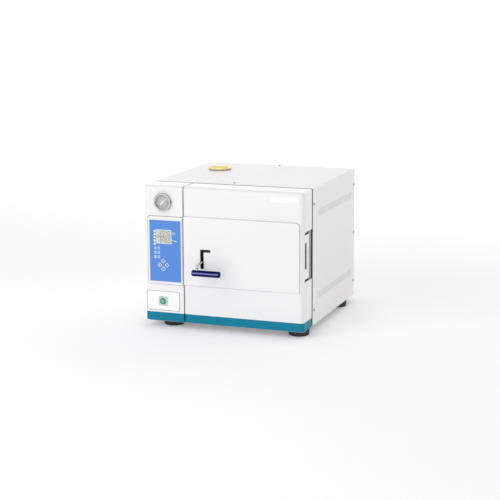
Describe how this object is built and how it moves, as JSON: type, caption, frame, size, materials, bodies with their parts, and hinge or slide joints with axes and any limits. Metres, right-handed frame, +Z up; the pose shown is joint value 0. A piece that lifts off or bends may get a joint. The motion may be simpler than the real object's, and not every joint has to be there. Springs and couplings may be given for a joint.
{
  "type": "benchtop autoclave",
  "caption": "Table-top steam steriliser with a hinged full-height door, lock lever, control column with gauge and key panel, tray chamber and top filler cap.",
  "frame": {"origin": "on the bench plane, at the centre of the overall footprint from the grip in front to the spigot ends behind", "axes": "+X to the right seen from the front, +Y to the back, +Z up"},
  "size_m": [0.474, 0.56, 0.4122],
  "materials": {
    "white_cover": "satin powder coat",
    "white_moulding": "smooth satin",
    "teal": "satin",
    "panel_blue": "printed foil",
    "lcd_grey": "clear window",
    "led_white": "clear lens",
    "key_blue": "printed foil",
    "pcb_green": "solder mask",
    "chrome": "polished",
    "dial_grey": "matt",
    "needle_white": "matt",
    "glass": "clear",
    "plate_white": "satin",
    "button_green": "gloss",
    "stainless": "brushed",
    "heater_steel": "heat tinted",
    "lagging": "fibre",
    "zinc_steel": "zinc plated",
    "tank_plastic": "natural",
    "cap_yellow": "moulded",
    "seal_grey": "moulded",
    "copper": "drawn",
    "brass": "turned",
    "black_plastic": "moulded",
    "black_rubber": "moulded",
    "grey_paint": "satin",
    "silicone": "moulded",
    "bronze": "sintered",
    "navy": "gloss"
  },
  "bodies": {
    "cabinet": {"base_pan": "zinc_steel", "front_frame": "white_moulding", "wrap_cover": "white_cover", "rear_panel": "white_cover", "cover_screws": "zinc_steel", "feet": "black_rubber", "column_housing": "white_moulding", "column_skirt": "teal", "panel_bezel": "white_moulding", "control_membrane": "panel_blue", "lcd_display": "lcd_grey", "indicator_leds": "led_white", "control_board": "pcb_green", "gauge_case": "chrome", "gauge_dial": "dial_grey", "gauge_glass": "glass", "power_plate": "plate_white", "power_button_bezel": "plate_white", "chamber_vessel": "stainless", "chamber_flange": "stainless", "heating_element": "heater_steel", "insulation_jacket": "lagging", "chamber_saddles": "zinc_steel", "tray_rack": "stainless", "water_tank": "tank_plastic", "solenoid_valves": "brass", "condenser_coil": "copper", "steam_pipes": "copper", "safety_valve": "brass", "power_board": "pcb_green", "power_inlet": "black_plastic", "fuse_holders": "black_plastic", "drain_spigots": "brass", "hinge_bracket": "grey_paint", "hinge_pin": "stainless", "latch_keeper": "zinc_steel"},
    "door": {"door_shell": "white_moulding", "door_skirt": "teal", "door_label_plate": "plate_white", "latch_guide_plate": "chrome", "door_yoke": "grey_paint", "hinge_bushes": "bronze", "pressure_door": "stainless", "door_gasket": "silicone", "door_stud": "zinc_steel", "shaft_bearings": "zinc_steel"},
    "lever": {"lock_shaft": "zinc_steel", "lever_arm": "chrome", "lever_grip": "navy"},
    "needle": {"gauge_needle": "needle_white"},
    "power_button": {"power_button": "button_green"},
    "key_up": {"key_up": "key_blue"},
    "key_down": {"key_down": "key_blue"},
    "key_left": {"key_left": "key_blue"},
    "key_right": {"key_right": "key_blue"},
    "tray_lower": {"tray_lower": "stainless"},
    "tray_middle": {"tray_middle": "stainless"},
    "tray_upper": {"tray_upper": "stainless"},
    "cap_seal": {"filler_cap_seal": "seal_grey"},
    "cap": {"filler_cap": "cap_yellow"}
  },
  "joints": [
    {"name": "door_hinge", "type": "hinge", "parent": "cabinet", "child": "door", "pos_m": [0.222, -0.20825, 0.223], "axis": [0, 0, 1], "range_deg": [0, 95]},
    {"name": "lever_turn", "type": "hinge", "parent": "door", "child": "lever", "pos_m": [-0.0594, -0.18825, 0.2], "axis": [-1, 0, 0], "range_deg": [-18, 32]},
    {"name": "needle_turn", "type": "hinge", "parent": "cabinet", "child": "needle", "pos_m": [-0.1757, -0.23325, 0.3574], "axis": [0, 1, 0], "range_deg": [-183, 87]},
    {"name": "power_press", "type": "slide", "parent": "cabinet", "child": "power_button", "axis": [0, 1, 0], "range_m": [0, 0.003]},
    {"name": "key_up_press", "type": "slide", "parent": "cabinet", "child": "key_up", "axis": [0, 1, 0], "range_m": [0, 0.0005]},
    {"name": "key_down_press", "type": "slide", "parent": "cabinet", "child": "key_down", "axis": [0, 1, 0], "range_m": [0, 0.0005]},
    {"name": "key_left_press", "type": "slide", "parent": "cabinet", "child": "key_left", "axis": [0, 1, 0], "range_m": [0, 0.0005]},
    {"name": "key_right_press", "type": "slide", "parent": "cabinet", "child": "key_right", "axis": [0, 1, 0], "range_m": [0, 0.0005]},
    {"name": "tray_lower_slide", "type": "slide", "parent": "cabinet", "child": "tray_lower", "axis": [0, -1, 0], "range_m": [0, 0.045]},
    {"name": "tray_middle_slide", "type": "slide", "parent": "cabinet", "child": "tray_middle", "axis": [0, -1, 0], "range_m": [0, 0.045]},
    {"name": "tray_upper_slide", "type": "slide", "parent": "cabinet", "child": "tray_upper", "axis": [0, -1, 0], "range_m": [0, 0.045]},
    {"name": "cap_lift", "type": "slide", "parent": "cabinet", "child": "cap_seal", "axis": [0, 0, 1], "range_m": [0, 0.06]},
    {"name": "cap_turn", "type": "hinge", "parent": "cap_seal", "child": "cap", "pos_m": [-0.142, 0.11875, 0.407], "axis": [0, 0, 1], "range_deg": [0, 90]}
  ]
}
